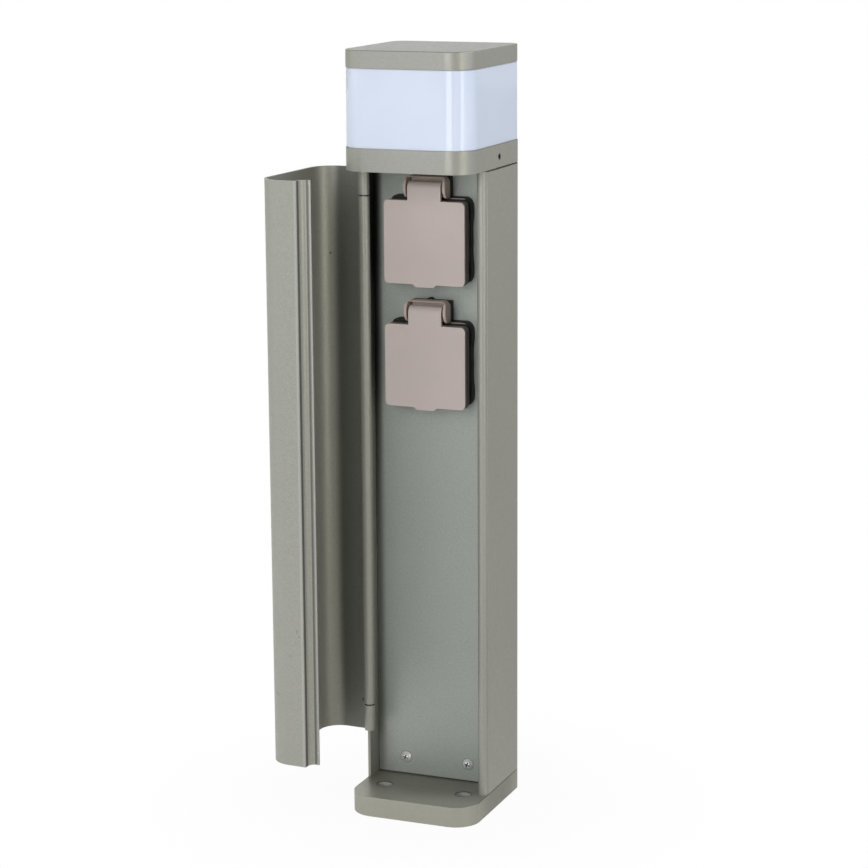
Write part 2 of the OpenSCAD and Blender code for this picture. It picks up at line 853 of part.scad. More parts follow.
module lamp_collar() {
    color(paint) difference() {
        union() {
            translate([0, 0, collar_z]) linear_extrude(collar_h) section_ring(0, collar_wall);
            translate([0, 0, collar_z]) linear_extrude(collar_floor) section(collar_wall / 2);
            four(rod_x, rod_y) translate([0, 0, collar_z]) cylinder(r = boss_r, h = lamp_plate_z - collar_z);
        }
        four(rod_x, rod_y) {
            bore_z(rod_r + fit, collar_z, lens_z);
            translate([0, 0, collar_z - through])
                cylinder(r = rod_head_r + fit, h = rod_low + rod_head_h - collar_z + through);
        }
        for (sx = [-1, 1]) translate([sx * (ear_x - ear_t / 2) - ear_t / 2 - fit, -fit, collar_z - through])
            cube([ear_t + 2 * fit, ear_end_y + 2 * fit, collar_floor + 2 * through]);
        translate([0, wire_hole_y]) bore_z(wire_hole_r, collar_z, collar_z + collar_floor);
        translate([0, wire_y]) bore_z(wire_r + fit, collar_z, collar_z + collar_floor);
        for (sx = [-1, 1]) translate([sx * (half_w - collar_wall / 2), set_screw_y, set_screw_z])
            bar_x(set_screw_r + run_gap, collar_wall + through);
    }
}

// Grub screws that clamp the collar to the spigot's ears
module set_screws() {
    color(steel) for (sx = [-1, 1]) translate([sx * ear_x, set_screw_y, set_screw_z]) rotate([0, sx * 90, 0])
        difference() {
            cylinder(r = set_screw_r, h = half_w - ear_x - set_screw_in);
            translate([0, 0, half_w - ear_x - set_screw_in - set_screw_hex_h])
                cylinder(r = set_screw_hex, h = set_screw_hex_h + through, $fn = 6);
        }
}

// Metal plate that spreads the heat of the LEDs and locates the diffuser
module lamp_plate() {
    color(steel) translate([0, 0, lamp_plate_z]) difference() {
        union() {
            linear_extrude(lamp_plate_t) section(collar_wall + fit);
            linear_extrude(lamp_plate_t + rim_h) section_ring(rim_in, rim_t);
        }
        four(rod_x, rod_y) bore_z(rod_r + fit, 0, lamp_plate_t);
    }
}

module led_board() {
    color([0.93, 0.93, 0.90]) translate([0, 0, board_z]) linear_extrude(board_t)
        rrect(board_w, board_w, board_r);
}

module leds() {
    middle = (led_grid - 1) / 2;
    color([0.95, 0.85, 0.45]) translate([-led_size[0] / 2, -led_size[1] / 2, board_z + board_t])
        for (i = [0 : led_grid - 1], j = [0 : led_grid - 1])
            translate([(i - middle) * led_step, (j - middle) * led_step]) cube(led_size);
}

module lens_seal(z) {
    color(black) translate([0, 0, z]) linear_extrude(seal_h)
        section_ring(lens_inset + seal_back, lens_t - 2 * seal_back);
}

module diffuser() {
    color(opal) translate([0, 0, lens_z + seal_h]) linear_extrude(lens_h - 2 * seal_h)
        section_ring(lens_inset, lens_t);
}

// Cast cap with an inner rim inside the diffuser and four blind bosses for the rods
module top_cap() {
    color(paint) difference() {
        union() {
            translate([0, 0, cap_z]) linear_extrude(cap_h) section(cap_inset);
            translate([0, 0, cap_z - rim_h]) linear_extrude(rim_h + through) section(rim_in);
        }
        difference() {
            translate([0, 0, cap_z - rim_h - through])
                linear_extrude(through + rim_h + cap_h - cap_plate) section(rim_in + rim_t);
            four(rod_x, rod_y) translate([0, 0, cap_z - rim_h]) cylinder(r = boss_r, h = rim_h + cap_h);
        }
        four(rod_x, rod_y) bore_z(rod_r, cap_z - rim_h, cap_z + rod_grip);
    }
}

// Four long screws that hold cap, diffuser and collar together
module tie_rods() {
    color(steel) four(rod_x, rod_y) translate([0, 0, rod_low]) {
        cylinder(r = rod_r, h = cap_z + rod_grip - rod_low);
        cylinder(r = rod_head_r, h = rod_head_h);
    }
}

base_plate();
base_bracket();
bracket_screws();
cable_grommet();
column_body();
front_panel();
panel_screws();
door_shell();
hinge_pins();
hinge_washers();
at_upper() gasket();  // gasket_upper
at_lower() gasket();  // gasket_lower
at_upper() socket_frame();  // frame_upper
at_lower() socket_frame();  // frame_lower
at_upper() socket_insert();  // insert_upper
at_lower() socket_insert();  // insert_lower
at_upper() contacts();  // contacts_upper
at_lower() contacts();  // contacts_lower
at_upper() earth_clips();  // earth_clips_upper
at_lower() earth_clips();  // earth_clips_lower
at_upper() lid();  // lid_upper
at_lower() lid();  // lid_lower
at_upper() lid_seal();  // lid_seal_upper
at_lower() lid_seal();  // lid_seal_lower
at_upper() lid_pin();  // lid_pin_upper
at_lower() lid_pin();  // lid_pin_lower
at_upper() lid_spring();  // lid_spring_upper
at_lower() lid_spring();  // lid_spring_lower
socket_screws();
socket_nuts();
terminal_block();
terminal_clamps();
led_driver();
wiring_loom();
head_spigot();
spigot_screws();
head_gasket();
lamp_collar();
set_screws();
lamp_plate();
led_board();
leds();
lens_seal(lens_z);  // lower_lens_seal
diffuser();
lens_seal(cap_z - seal_h);  // upper_lens_seal
top_cap();
tie_rods();
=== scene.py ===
import bpy
import bmesh
import json
import math
from mathutils import Matrix, Vector


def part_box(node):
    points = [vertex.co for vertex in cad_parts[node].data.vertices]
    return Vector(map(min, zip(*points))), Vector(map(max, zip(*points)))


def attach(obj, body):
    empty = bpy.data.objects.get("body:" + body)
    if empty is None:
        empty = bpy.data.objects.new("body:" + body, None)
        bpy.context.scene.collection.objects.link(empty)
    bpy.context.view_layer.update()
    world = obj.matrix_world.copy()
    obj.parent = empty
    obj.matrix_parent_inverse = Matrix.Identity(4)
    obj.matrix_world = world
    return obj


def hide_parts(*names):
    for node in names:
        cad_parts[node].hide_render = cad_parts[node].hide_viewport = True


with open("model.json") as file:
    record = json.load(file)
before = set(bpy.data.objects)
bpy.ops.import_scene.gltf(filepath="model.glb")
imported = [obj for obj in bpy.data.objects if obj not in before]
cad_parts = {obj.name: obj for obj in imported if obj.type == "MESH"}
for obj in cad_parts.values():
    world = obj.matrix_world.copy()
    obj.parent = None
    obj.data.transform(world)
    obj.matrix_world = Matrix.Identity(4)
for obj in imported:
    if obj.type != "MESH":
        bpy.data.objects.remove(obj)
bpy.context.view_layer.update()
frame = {"nodes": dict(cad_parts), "record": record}

MM = 0.001
HAIR = 0.1 * MM                 # closer than this counts as on the same plane
FLAT = math.radians(0.4)        # faces that lean less than this are joined into one
SHARP = math.radians(32)        # edges that turn more than this are rounded


# ---------------------------------------------------------------- camera

# The camera fitted to the photograph's outlines: yaw, pitch and roll in degrees, place in metres
CAMERA_ANGLES = (-22.14395, 12.13808, -0.35618)
CAMERA_PLACE = (0.645004, -1.583348, 0.623449)
FOCAL_PIXELS = 2626.355
FRAME_PIXELS = 868


def place_camera():
    yaw, pitch, roll = (math.radians(a) for a in CAMERA_ANGLES)
    ahead = Vector((math.sin(yaw) * math.cos(pitch), math.cos(yaw) * math.cos(pitch), -math.sin(pitch)))
    side = Vector((math.cos(yaw), -math.sin(yaw), 0))
    up = side.cross(ahead)
    side_r = math.cos(roll) * side + math.sin(roll) * up
    up_r = math.cos(roll) * up - math.sin(roll) * side
    turn = Matrix((side_r, up_r, -ahead)).transposed().to_4x4()
    data = bpy.data.cameras.new("camera")
    data.sensor_width = 36
    data.lens = FOCAL_PIXELS / FRAME_PIXELS * data.sensor_width
    data.clip_start, data.clip_end = 0.05, 50
    cam = bpy.data.objects.new("camera", data)
    cam.matrix_world = Matrix.Translation(CAMERA_PLACE) @ turn
    bpy.context.scene.collection.objects.link(cam)
    bpy.context.scene.camera = cam


# ---------------------------------------------------------------- materials

def linear(r, g, b):
    """An sRGB colour of 0 to 255 as linear RGBA."""
    def one(v):
        v /= 255
        return v / 12.92 if v <= 0.04045 else ((v + 0.055) / 1.055) ** 2.4
    return (one(r), one(g), one(b), 1.0)


def scaled(colour, k):
    return tuple(c * k for c in colour[:3]) + (1.0,)


class Nodes:
    """A node tree that is filled by short calls."""

    def __init__(self, tree):
        self.tree = tree
        tree.nodes.clear()

    def put(self, value, socket):
        if isinstance(value, bpy.types.NodeSocket):
            self.tree.links.new(value, socket)
        elif value is not None:
            socket.default_value = value

    def add(self, kind, *values, **props):
        """A new node, its first inputs set in order, None leaving one as it is. Gives the node's first output."""
        node = self.tree.nodes.new(kind)
        for key, value in props.items():
            setattr(node, key, value)
        for socket, value in zip(node.inputs, values):
            self.put(value, socket)
        return next((out for out in node.outputs if out.enabled), None)

    def math(self, kind, *values):
        return self.add("ShaderNodeMath", *values, operation=kind)

    def mix(self, factor, a, b):
        return self.add("ShaderNodeMix", factor, None, None, None, None, None, a, b, data_type="RGBA")

    def remap(self, value, low, high, to_low=0.0, to_high=1.0):
        return self.add("ShaderNodeMapRange", value, low, high, to_low, to_high, interpolation_type="SMOOTHSTEP")

    def noise(self, at, scale, detail=2.0, rough=0.5):
        return self.add("ShaderNodeTexNoise", at, None, scale, detail, rough)

    def seen(self, *kinds):
        """1 for the named kinds of ray."""
        path = self.tree.nodes.new("ShaderNodeLightPath")
        share = path.outputs[kinds[0]]
        for kind in kinds[1:]:
            share = self.math("MAXIMUM", share, path.outputs[kind])
        return share


class Mat(Nodes):
    """A material with one principled shader, textured in the frame's own coordinates."""

    def __init__(self, name, **sockets):
        self.mat = bpy.data.materials.new(name)
        self.mat.use_nodes = True
        super().__init__(self.mat.node_tree)
        self.shader = self.tree.nodes.new("ShaderNodeBsdfPrincipled")
        self.add("ShaderNodeOutputMaterial", self.shader.outputs[0])
        self.at = self.tree.nodes.new("ShaderNodeTexCoord").outputs["Object"]
        for key, value in sockets.items():
            self.to(key.replace("_", " "), value)

    def to(self, name, value):
        self.put(value, self.shader.inputs[name])

    def grain(self, scale, detail=2.0, rough=0.5, squeeze=None):
        return self.noise(self.squeezed(squeeze) if squeeze else self.at, scale, detail, rough)

    def squeezed(self, axes):
        return self.add("ShaderNodeMapping", self.at, None, None, axes)

    def axis(self, name):
        return self.add("ShaderNodeSeparateXYZ", self.at).node.outputs[name]

    def near(self, point, radius, axes=(1, 1, 1), core=0.5):
        """1 at a point of the frame, given in mm like the radius, and 0 beyond the radius; axes squeezes the spot.

        core is the share of the radius that is still 1.
        """
        centre = [c * k * MM for c, k in zip(point, axes)]
        far = self.add("ShaderNodeVectorMath", self.squeezed(axes), centre, operation="DISTANCE")
        return self.remap(far, radius * core * MM, radius * MM, 1.0, 0.0)

    def marked(self, shade, marks):
        """A colour with small marks: marks of use, and painted shade and light.

        A mark is its place in mm, its radius, the squeeze of each axis, its strength and the colour it turns to, and
        may end with its core.
        """
        for point, radius, axes, strength, tint, *core in marks:
            shade = self.mix(self.math("MULTIPLY", self.near(point, radius, axes, *core), strength), shade, tint)
        return shade

    def bump(self, height, strength, distance):
        """Bends the shader's normal; distance is the height in metres."""
        node = self.add("ShaderNodeBump").node
        for key, value in (("Height", height), ("Strength", strength), ("Distance", distance)):
            self.put(value, node.inputs[key])
        self.to("Normal", node.outputs[0])


def powder_paint(name, colour, grain=1100, fleck=0.045, marks=()):
    """Satin powder coat: fine metallic fleck, orange peel, a faint broad drift of tone, and small marks: marks of
    use, painted shade and painted light.
    """
    tone, rough = 0.02, 0.41
    m = Mat(name, Metallic=0.42, IOR=1.5)
    fine = m.grain(grain, 3.0, 0.6)
    peel = m.grain(grain * 0.33, 2.0, 0.5)
    broad = m.grain(14, 3.0, 0.5)
    base = m.mix(m.remap(broad, 0.3, 0.7), scaled(colour, 1 - tone), scaled(colour, 1 + tone))
    light = m.mix(m.remap(fine, 0.52, 0.72), base, scaled(colour, 1 + 2.2 * fleck))
    shade = m.mix(m.remap(fine, 0.46, 0.26), light, scaled(colour, 1 - 2.2 * fleck))
    m.to("Base Color", m.marked(shade, marks))
    m.to("Roughness", m.remap(peel, 0.3, 0.7, rough - 0.04, rough + 0.05))
    m.bump(m.math("ADD", m.math("MULTIPLY", fine, 0.6), peel), 0.35, 0.00003)
    return m


def moulded(name, colour, rough=0.5, grain=1500, second=None, where=None):
    """Moulded plastic with a fine spark-eroded texture; where gives the share of a second colour at each point."""
    tone = 0.025
    m = Mat(name, IOR=1.46)
    fine = m.grain(grain, 2.0, 0.5)
    broad = m.grain(30, 2.0, 0.5)
    base = m.mix(m.remap(broad, 0.3, 0.7), scaled(colour, 1 - tone), scaled(colour, 1 + tone))
    shade = m.mix(m.remap(fine, 0.35, 0.65, 0.0, 0.35), base, scaled(colour, 1 - 2 * tone))
    m.to("Base Color", m.mix(where(m), shade, second) if second else shade)
    m.to("Roughness", m.remap(fine, 0.3, 0.7, rough - 0.04, rough + 0.06))
    m.bump(fine, 0.3, 0.00003)
    return m


def bare_metal(name, colour, rough, stretch=(1, 1, 1), grain=900, metallic=1.0, marks=()):
    """Plated or brushed metal with fine lines, small spots and marks; on the screw heads the marks are painted shade.
    """
    m = Mat(name, Metallic=metallic)
    lines = m.grain(grain, 2.0, 0.6, squeeze=stretch)
    spots = m.grain(220, 3.0, 0.6)
    base = m.mix(m.remap(spots, 0.45, 0.75), colour, scaled(colour, 0.82))
    shade = m.mix(m.remap(lines, 0.3, 0.7, 0.0, 0.4), base, scaled(colour, 1.12))
    m.to("Base Color", m.marked(shade, marks))
    m.to("Roughness", m.remap(lines, 0.3, 0.7, rough - 0.07, rough + 0.1))
    m.bump(lines, 0.25, 0.00002)
    return m


def rubber(name):
    m = Mat(name, IOR=1.5)
    colour = linear(24, 24, 23)
    fine = m.grain(1100, 3.0, 0.6)
    dust = m.grain(60, 4.0, 0.6)
    m.to("Base Color", m.mix(m.remap(dust, 0.5, 0.8, 0.0, 0.35), colour, linear(52, 50, 47)))
    m.to("Roughness", m.remap(fine, 0.3, 0.7, 0.52, 0.68))
    m.bump(fine, 0.4, 0.00005)
    return m


def opal_glass(name):
    """Opal acrylic: dense milky white under a polished skin."""
    m = Mat(name, IOR=1.49)
    colour = linear(215, 224, 242)
    cloud = m.grain(26, 3.0, 0.5)
    m.to("Base Color", m.mix(m.remap(cloud, 0.3, 0.7), scaled(colour, 0.99), scaled(colour, 1.01)))
    m.to("Roughness", m.remap(m.grain(420, 2.0, 0.5), 0.3, 0.7, 0.025, 0.045))
    m.to("Subsurface Weight", 0.35)
    m.to("Subsurface Radius", (1.0, 1.0, 1.0))
    m.to("Subsurface Scale", 0.004)
    m.bump(m.grain(60, 1.0, 0.4), 0.05, 0.00002)
    return m


GREY = linear(161, 161, 154)
# A slightly lighter copy of the post's grey for the base: painted light that brightens the base's faces
LIT_BASE_GREY = linear(166, 165, 154)
DOOR_GREY = linear(161, 161, 153)
PANEL_GREY = linear(164, 169, 163)
TAUPE = linear(187, 175, 170)
# Light grey for bare metal at chips, also used for painted highlights on the door's lip and painted light in the
# base's holes
BARE_AND_LIGHT = linear(196, 197, 196)
# Dark grey for scratches and dirt, also used for painted shade in the door's hinge corner and grooves, round the
# panel screws and along joints
GRIME_AND_SHADE = linear(40, 41, 36)
# Near black for painted shade and shadow: in seams, recesses, holes and down the panel's left edge
SHADE_BLACK = linear(14, 14, 12)
HOOD = linear(178, 162, 152)
# A dark second colour on the socket frames' towers and flanges that also stands in for their shade behind the lids;
# on the lids' rims it is painted shade
DARK_SHELL_AND_SHADE = linear(30, 26, 23)
# Painted shade: darkens the base's top towards the panel
SHADE_BROWN = linear(46, 40, 26)

# Places in mm: the base's fixing holes, the panel's screws, the column's two ends, the hinge's seams
FOOT_X, FOOT_Y = 28.8, 20.9
SCREW_X, SCREW_Z = 22.7, 26.3
LOW_JOINT, HIGH_JOINT = 13.8, 433.9
HINGE_SEAMS = (67.8, 415.5)

# Marks of use, painted shade and painted light: place in mm, radius, squeeze of each axis, strength, colour and,
# for a crisp one, its core
# Painted shade: dark lines at the hinge's seams
SEAM_SHADE = tuple(((-41.4, -15.6, z), 0.8, (0.12, 0.12, 1), 0.95, SHADE_BLACK) for z in HINGE_SEAMS)
DOOR_WEAR_SHADE_AND_LIGHT = SEAM_SHADE + (
    ((-66.4, -14.6, 376.1), 0.9, (1, 1, 1), 0.8, GRIME_AND_SHADE),
    ((-54.6, -101.5, 141.0), 1.6, (2.2, 1, 0.8), 0.3, GRIME_AND_SHADE),
    ((-53.3, -101.6, 137.6), 0.8, (1, 1, 1), 0.3, GRIME_AND_SHADE),
    ((-60.2, -101.2, 124.0), 1.4, (1, 1, 1), 0.1, GRIME_AND_SHADE),
    ((-70.5, -98.7, 97.0), 2.2, (1, 1, 1), 0.14, GRIME_AND_SHADE),
    # Painted shade: a dark slit on the hinge wall beside the lower seam, where no gap is modelled
    ((-47.3, -13.3, 69.6), 1.5, (2.2, 1, 1), 0.95, GRIME_AND_SHADE),
    ((-44.7, -94.4, 57.5), 0.9, (1, 1, 1), 0.9, BARE_AND_LIGHT),
    ((-44.7, -94.4, 431.4), 0.8, (1, 1, 1), 0.6, BARE_AND_LIGHT),
    # Painted shade: dark lines down the groove beside the latch flat and at the lip's foot
    ((-49.8, -99.6, 250), 1.7, (1, 1, 0.0005), 0.75, GRIME_AND_SHADE),
    ((-46.0, -94.2, 250), 0.9, (1, 1, 0.0005), 0.6, GRIME_AND_SHADE),
    # Painted highlight: light lines down the lip's tip and the latch flat's edge
    ((-44.4, -94.4, 250), 0.9, (1, 1, 0.0005), 0.35, BARE_AND_LIGHT),
    ((-51.2, -101.7, 250), 0.9, (1, 1, 0.0005), 0.3, BARE_AND_LIGHT),
    # Painted shade: the door's inside darkens towards the hinge wall
    ((-54.0, -12.5, 250), 12, (1, 1, 0.0005), 0.55, GRIME_AND_SHADE),
)
# Painted shade: dark lines round the column's joints with the base and with the collar
JOINT_SHADE = tuple(((x, 4, z), radius, (1, 0.01, 1), share, GRIME_AND_SHADE)
                   for x in (-45, 45) for z, radius, share in ((LOW_JOINT, 0.7, 0.6), (HIGH_JOINT, 0.6, 0.9)))
# Painted shadow: the left wall's inside darkens next to the panel, most towards the top
COLUMN_SHADE = JOINT_SHADE + SEAM_SHADE + (((-42.6, 1.0, 430), 9, (4, 1, 0.055), 0.9, SHADE_BLACK),)
PANEL_SHADE = (
    # Painted shadow: a dark band down the panel's left edge, darkest towards the top
    ((-48, 3.3, 420), 12.5, (1, 1, 0.0379), 0.92, SHADE_BLACK),
    ((-48, 3.3, 250), 12.5, (1, 1, 0.0005), 0.4, SHADE_BLACK),
    # Painted shadow: dark rings round the panel screws
    ((-SCREW_X, 3.3, SCREW_Z), 4.9, (1, 1, 1), 0.9, GRIME_AND_SHADE),
    ((SCREW_X, 3.3, SCREW_Z), 4.9, (1, 1, 1), 0.9, GRIME_AND_SHADE),
    # Painted shade: a dark line along the panel's foot
    ((0, 3.3, LOW_JOINT), 1.4, (0.01, 1, 1), 0.85, GRIME_AND_SHADE),
)
# Painted shade: the screw heads' cross recesses darken
SCREW_RECESS_SHADE = tuple(((x * SCREW_X, 2.2, SCREW_Z), 1.6, (0.5, 1.6, 0.5), 0.95, SHADE_BLACK) for x in (-1, 1))
# Painted shade: the collar round its set screw hole darkens
HEAD_SHADE = JOINT_SHADE + (((44.9, 6.8, 441.4), 2.5, (1, 1, 0.85), 0.95, SHADE_BLACK),)
# Painted shade: the base's top darkens towards the panel. In each fixing hole, painted light on the wall's middle
# depth over painted shade towards the rims
BASE_SHADE_AND_LIGHT = JOINT_SHADE + (((6, 4, LOW_JOINT), 50, (0.6, 1, 1), 0.36, SHADE_BROWN),) + tuple(
    mark for x in (-FOOT_X, FOOT_X) for y in (-FOOT_Y, FOOT_Y)
    for mark in (((x, y, 7), 6.0, (1, 1, 0.0005), 0.6, SHADE_BLACK, 0.93), ((x, y, 7), 7.0, (0.5, 0.5, 1), 0.8, BARE_AND_LIGHT, 0.92)))

MATS = {
    "post_paint": powder_paint("post_powder_coat", GREY, marks=JOINT_SHADE),
    "door_paint": powder_paint("door_powder_coat", DOOR_GREY, fleck=0.07, marks=DOOR_WEAR_SHADE_AND_LIGHT),
    "panel_paint": powder_paint("panel_powder_coat", PANEL_GREY, grain=950, fleck=0.08, marks=PANEL_SHADE),
    "zinc_steel": bare_metal("bright_zinc", linear(222, 224, 226), 0.26),
    "black_rubber": rubber("black_rubber"),
    "taupe_plastic": moulded("taupe_plastic", TAUPE),
    "grey_plastic": moulded("grey_plastic", linear(120, 120, 122), 0.45),
    "contact_brass": bare_metal("contact_brass", linear(222, 190, 120), 0.22),
    "white_plastic": moulded("white_plastic", linear(226, 226, 222), 0.42),
    "led_phosphor": moulded("led_phosphor", linear(240, 214, 110), 0.35, 2500),
    "cable_sheath": moulded("cable_sheath", linear(52, 52, 56), 0.5, 900),
    "plate_aluminium": bare_metal("mill_aluminium", linear(205, 206, 210), 0.34, (1, 14, 14), 260),
    "opal_plastic": opal_glass("opal_acrylic"),
}
SLOT_OF = {p["node"]: p["material_slot"] for p in frame["record"]["subparts"]}
BODY_OF = {n: b for b, ns in frame["record"]["behaviour"]["bodies"].items() for n in ns}

BLACKED = bare_metal("blackened_steel", linear(20, 20, 21), 0.5)
ZINC_FLAKE = bare_metal("zinc_flake", linear(236, 238, 238), 0.42, metallic=0.45, marks=SCREW_RECESS_SHADE)


SOCKET_FROM, SOCKET_PITCH = 332.6 * MM, 81.9 * MM


def behind_hood(m):
    """1 on a socket frame's tower and flange, 0 on its hood and on a painted highlight along the flange's top edge.
    Both sockets are alike.
    """
    over = m.math("FLOORED_MODULO", m.math("SUBTRACT", m.axis("Z"), SOCKET_FROM), SOCKET_PITCH)
    beside = m.math("GREATER_THAN", m.math("ABSOLUTE", m.axis("X")), 12.5 * MM)
    flange = m.math("MULTIPLY", beside, m.remap(m.axis("Y"), -4.6 * MM, -4.0 * MM))
    edge = m.math("MULTIPLY", m.remap(over, 81.1 * MM, 81.5 * MM), m.remap(m.axis("X"), 13 * MM, 17 * MM))
    painted_highlight = m.math("MULTIPLY", edge, m.remap(m.axis("Y"), -3.3 * MM, -2.7 * MM, 0.85, 0.0))
    return m.math("SUBTRACT", m.math("MAXIMUM", m.math("GREATER_THAN", over, 15 * MM), flange), painted_highlight)


def shaded_lid_rim(m):
    """Painted shade: rises from 0 on a lid's face to its full share at the back of its rim, away from the tongue
    under the hood.
    """
    rim = m.remap(m.axis("Y"), -12.9 * MM, -10.5 * MM, 0.0, 0.7)
    return m.math("MULTIPLY", rim, m.remap(m.math("ABSOLUTE", m.axis("X")), 12.0 * MM, 13.5 * MM))


SOCKET_FRAME = moulded("socket_frame_plastic", HOOD, 0.42, second=DARK_SHELL_AND_SHADE, where=behind_hood)
LID = moulded("lid_plastic", TAUPE, second=DARK_SHELL_AND_SHADE, where=shaded_lid_rim)
LENS_SEAL = moulded("lens_silicone", linear(186, 190, 196), 0.45)
OWN = {"set_screws": BLACKED, "hinge_washers": BLACKED, "panel_screws": ZINC_FLAKE,
       "upper_lens_seal": LENS_SEAL, "lower_lens_seal": LENS_SEAL,
       "frame_upper": SOCKET_FRAME, "frame_lower": SOCKET_FRAME, "lid_upper": LID, "lid_lower": LID,
       "base_plate": powder_paint("base_powder_coat", LIT_BASE_GREY, marks=BASE_SHADE_AND_LIGHT),
       "column_body": powder_paint("column_powder_coat", GREY, marks=COLUMN_SHADE),
       "lamp_collar": powder_paint("head_powder_coat", GREY, marks=HEAD_SHADE)}


def finish_of(node):
    return OWN.get(node, MATS[SLOT_OF[node]]).mat


for node, obj in frame["nodes"].items():
    obj.data.materials.clear()
    obj.data.materials.append(finish_of(node))
    for poly in obj.data.polygons:
        poly.material_index = 0


# ---------------------------------------------------------------- dressed copies with softened edges

def merged(node):
    """A bmesh of a CAD node with its split corners joined and flat faces made whole."""
    bm = bmesh.new()
    bm.from_mesh(frame["nodes"][node].data)
    clean = bmesh.new()
    verts = [clean.verts.new(v.co) for v in bm.verts]
    for f in bm.faces:
        try:
            clean.faces.new([verts[v.index] for v in f.verts])
        except ValueError:
            continue
    bm.free()
    bmesh.ops.remove_doubles(clean, verts=clean.verts, dist=0.000002)
    bmesh.ops.dissolve_limit(clean, angle_limit=FLAT, verts=clean.verts, edges=clean.edges)
    return clean


def dress(node, width, segments=3, pick=None, shape=None):
    """Replaces a CAD node by a copy whose edges are rounded by width.

    pick gives an edge's share of the width; shape changes the copy's bmesh first.
    """
    bm = merged(node)
    if shape:
        shape(bm)
    layer = bm.edges.layers.float.new("bevel_weight_edge")
    for e in bm.edges:
        if len(e.link_faces) == 2 and e.calc_face_angle(0) > SHARP:
            e[layer] = 1.0 if pick is None else pick((e.verts[0].co + e.verts[1].co) / 2)
    me = bpy.data.meshes.new(node + "_skin")
    bm.to_mesh(me)
    bm.free()
    me.shade_smooth()
    me.materials.append(finish_of(node))
    obj = bpy.data.objects.new(node + "_skin", me)
    bpy.context.scene.collection.objects.link(obj)
    mod = obj.modifiers.new("edges", "BEVEL")
    mod.limit_method = "WEIGHT"
    mod.width = width
    mod.segments = segments
    mod.use_clamp_overlap = True
    mod.miter_outer = "MITER_ARC"
    norm = obj.modifiers.new("normals", "WEIGHTED_NORMAL")
    norm.mode = "FACE_AREA"
    norm.weight = 60
    norm.thresh = 0.01
    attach(obj, BODY_OF[node])
    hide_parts(node)


def face_first(node, depth):
    """Full rounding for edges within depth of the node's front face, less for those behind."""
    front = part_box(node)[0].y
    return lambda mid: 1.0 if mid.y < front + depth else 0.3


def low_first(node, share):
    """Full rounding for edges at the node's bottom, less for the others."""
    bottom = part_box(node)[0].z
    return lambda mid: 1.0 if mid.z < bottom + HAIR else share


def ends_last(node, share, edge=None):
    """Less rounding for edges at the node's two ends; edge names the XY place of an upright edge that has twice."""
    low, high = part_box(node)

    def pick(mid):
        if mid.z < low.z + HAIR or mid.z > high.z - HAIR:
            return share
        if edge and math.hypot(mid.x - edge[0], mid.y - edge[1]) < 0.6 * MM:
            return 1.0
        return 0.5
    return pick


# How far a surround's right side wanders, in mm, from its bottom to its top
WAVE = (0.0, 0.1, 0.45, 0.5, 0.3, -0.1, -0.3, -0.3, -0.1, -0.2, -0.3, -0.3, -0.1, 0.3, 0.5, 0.5, 0.1, 0.0)


def wavy(bm):
    """Lets a rubber surround wander a little along its right side, as pressed rubber does."""
    zs = [v.co.z for v in bm.verts]
    right, low = max(v.co.x for v in bm.verts), min(zs)
    step = 2 * right / (len(WAVE) - 1)
    for k in range(1, len(WAVE) - 1):
        geom = bm.verts[:] + bm.edges[:] + bm.faces[:]
        bmesh.ops.bisect_plane(bm, geom=geom, dist=1e-6, plane_co=(0, 0, low + k * step), plane_no=(0, 0, 1))
    for v in bm.verts:
        k = (v.co.z - low) / step
        if v.co.x > right - 0.2 * MM and k < len(WAVE) - 1:
            v.co.x += (WAVE[int(k)] * (1 - k % 1) + WAVE[int(k) + 1] * (k % 1)) * MM


LATCH_EDGE = (-51.5 * MM, -101.6 * MM)
CAP_TOP = 0.511

dress("base_plate", 1.2 * MM, 4, low_first("base_plate", 0.4))
dress("column_body", 0.3 * MM, 3, ends_last("column_body", 0.5))
dress("front_panel", 0.2 * MM)
dress("door_shell", 0.6 * MM, 3, ends_last("door_shell", 0.25, LATCH_EDGE))
dress("lamp_collar", 0.5 * MM, 3, low_first("lamp_collar", 1.0))
dress("top_cap", 0.7 * MM, pick=lambda mid: 1.0 if mid.z > CAP_TOP else 0.4)
for which in ("upper", "lower"):
    dress("lid_" + which, 0.9 * MM, 4, face_first("lid_" + which, 0.3 * MM))
    dress("frame_" + which, 0.35 * MM)
    dress("gasket_" + which, 0.5 * MM, shape=wavy)
    dress("insert_" + which, 0.4 * MM)
dress("panel_screws", 0.15 * MM)


# ---------------------------------------------------------------- floor, lights, world

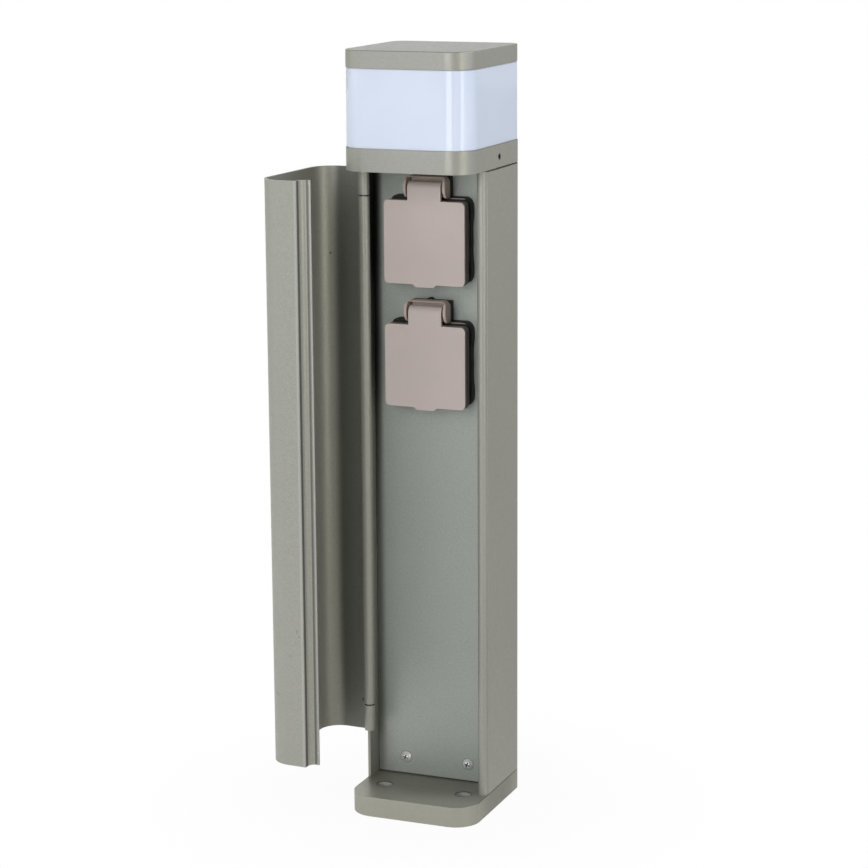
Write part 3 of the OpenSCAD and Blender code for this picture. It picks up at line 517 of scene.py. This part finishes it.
def make_floor():
    """A pale floor that keeps the post's soft shadow and runs out into the white of the background."""
    bpy.ops.mesh.primitive_circle_add(vertices=96, radius=6, fill_type="NGON", location=(0, 0, -0.0004))
    floor = bpy.context.object
    floor.name = "floor"
    mat = bpy.data.materials.new("pale_floor")
    mat.use_nodes = True
    n = Nodes(mat.node_tree)
    at = n.tree.nodes.new("ShaderNodeTexCoord").outputs["Object"]
    matte = n.add("ShaderNodeBsdfDiffuse", n.remap(n.noise(at, 40), 0.3, 0.7, 0.85, 0.87))
    away = n.remap(n.add("ShaderNodeVectorMath", at, operation="LENGTH"), 0.05, 0.24, 0.95, 1.0)
    white = n.math("MULTIPLY", away, n.seen("Is Camera Ray", "Is Glossy Ray", "Is Transmission Ray"))
    side = n.remap(n.add("ShaderNodeSeparateXYZ", at), -0.3, 0.3)
    bright = n.mix(side, (1.0, 1.0, 1.0, 1), (0.48, 0.45, 0.38, 1))
    aside = n.add("ShaderNodeVectorMath", at, (1.9, 0.25, 0), operation="DISTANCE")
    room = n.mix(n.remap(aside, 0.3, 1.1, 0.9, 0.0), bright, (0.0, 0.0, 0.0, 1))
    colour = n.mix(n.seen("Is Glossy Ray"), (1, 1, 1, 1), room)
    n.add("ShaderNodeOutputMaterial", n.add("ShaderNodeMixShader", white, matte, n.add("ShaderNodeEmission", colour)))
    floor.data.materials.append(mat)


LAMP_DISTANCE = 1.8
ROOM_PEAK = 3.0         # a colour ramp ends at 1, so the world's strength carries this factor
# The room's colour round the compass: azimuth 0 is +X and 270 the front
ROOM_RING = {0: (0.25, 0.26, 0.28), 30: (0.4, 0.41, 0.44), 60: (0.6, 0.58, 0.55), 90: (0.8, 0.78, 0.74),
             120: (1.42, 1.42, 1.44), 150: (0.4, 0.4, 0.3), 180: (0.45, 0.45, 0.3), 210: (1.5, 1.55, 1.45),
             240: (0.6, 0.64, 0.7), 270: (0.0, 0.0, 0.0), 330: (0.25, 0.25, 0.25)}


def softbox(name, azimuth, low, high, width, radiance, diffuse=True, glossy=True):
    """An upright area light that faces the post. Azimuth 0 is +X and -90 the front; radiance is its brightness.

    One without diffuse is only seen as a reflection, and one without glossy gives no reflection.
    """
    a = math.radians(azimuth)
    data = bpy.data.lights.new(name, "AREA")
    data.shape = "RECTANGLE"
    data.size, data.size_y = width, high - low
    data.color = [c / max(radiance) for c in radiance]
    data.energy = max(radiance) * math.pi * data.size * data.size_y
    lamp = bpy.data.objects.new(name, data)
    lamp.location = (math.cos(a) * LAMP_DISTANCE, math.sin(a) * LAMP_DISTANCE, (low + high) / 2)
    back = Vector((math.cos(a), math.sin(a), 0))
    lamp.rotation_euler = back.to_track_quat("Z", "Y").to_euler()
    lamp.visible_camera = False
    lamp.visible_diffuse = diffuse
    lamp.visible_glossy = glossy
    bpy.context.scene.collection.objects.link(lamp)


def make_world(ring):
    """White to the camera. Other rays find a room whose brightness changes round the compass and fades overhead."""
    world = bpy.data.worlds.new("studio")
    bpy.context.scene.world = world
    world.use_nodes = True
    n = Nodes(world.node_tree)
    split = n.tree.nodes.new("ShaderNodeSeparateXYZ")
    n.tree.links.new(n.tree.nodes.new("ShaderNodeTexCoord").outputs["Generated"], split.inputs[0])
    turn = n.math("FRACT", n.math("DIVIDE", n.math("ARCTAN2", split.outputs["Y"], split.outputs["X"]), math.tau))
    room = n.add("ShaderNodeValToRGB", turn)
    ramp = room.node.color_ramp
    ramp.elements[1].position = 1.0
    ramp.elements[0].color = ramp.elements[1].color = [c / ROOM_PEAK for c in ring[0]] + [1.0]
    for azimuth, colour in list(ring.items())[1:]:
        ramp.elements.new(azimuth / 360).color = [c / ROOM_PEAK for c in colour] + [1.0]
    to_camera = n.seen("Is Camera Ray", "Is Transmission Ray")
    strength = n.add("ShaderNodeMix", to_camera, None, n.remap(split.outputs["Z"], 0.34, 0.87, ROOM_PEAK, 0.0), 1.0)
    colour = n.mix(to_camera, room, (1, 1, 1, 1))
    n.add("ShaderNodeOutputWorld", n.add("ShaderNodeBackground", colour, strength))


place_camera()
make_floor()
make_world(ROOM_RING)
softbox("key", -90, 0.46, 1.10, 0.50, (5.6, 5.65, 5.7))
softbox("key_soft", -91, 0.30, 1.90, 0.70, (5.0, 5.0, 5.05), glossy=False)
softbox("front_low", -85, 0.16, 0.42, 0.68, (3.5, 3.5, 3.5), diffuse=False)
softbox("right", 12, 0.75, 2.10, 1.2, (4.2, 4.4, 4.8))
softbox("side", -23, 0.02, 2.0, 0.74, (0.85, 0.82, 0.65))
softbox("side_strip", -28, 0.02, 2.0, 0.42, (2.3, 2.25, 1.9), diffuse=False)
softbox("side_low", -23, 0.18, 0.40, 0.74, (3.0, 3.0, 3.2), diffuse=False)
bpy.context.scene.view_settings.view_transform = "Standard"
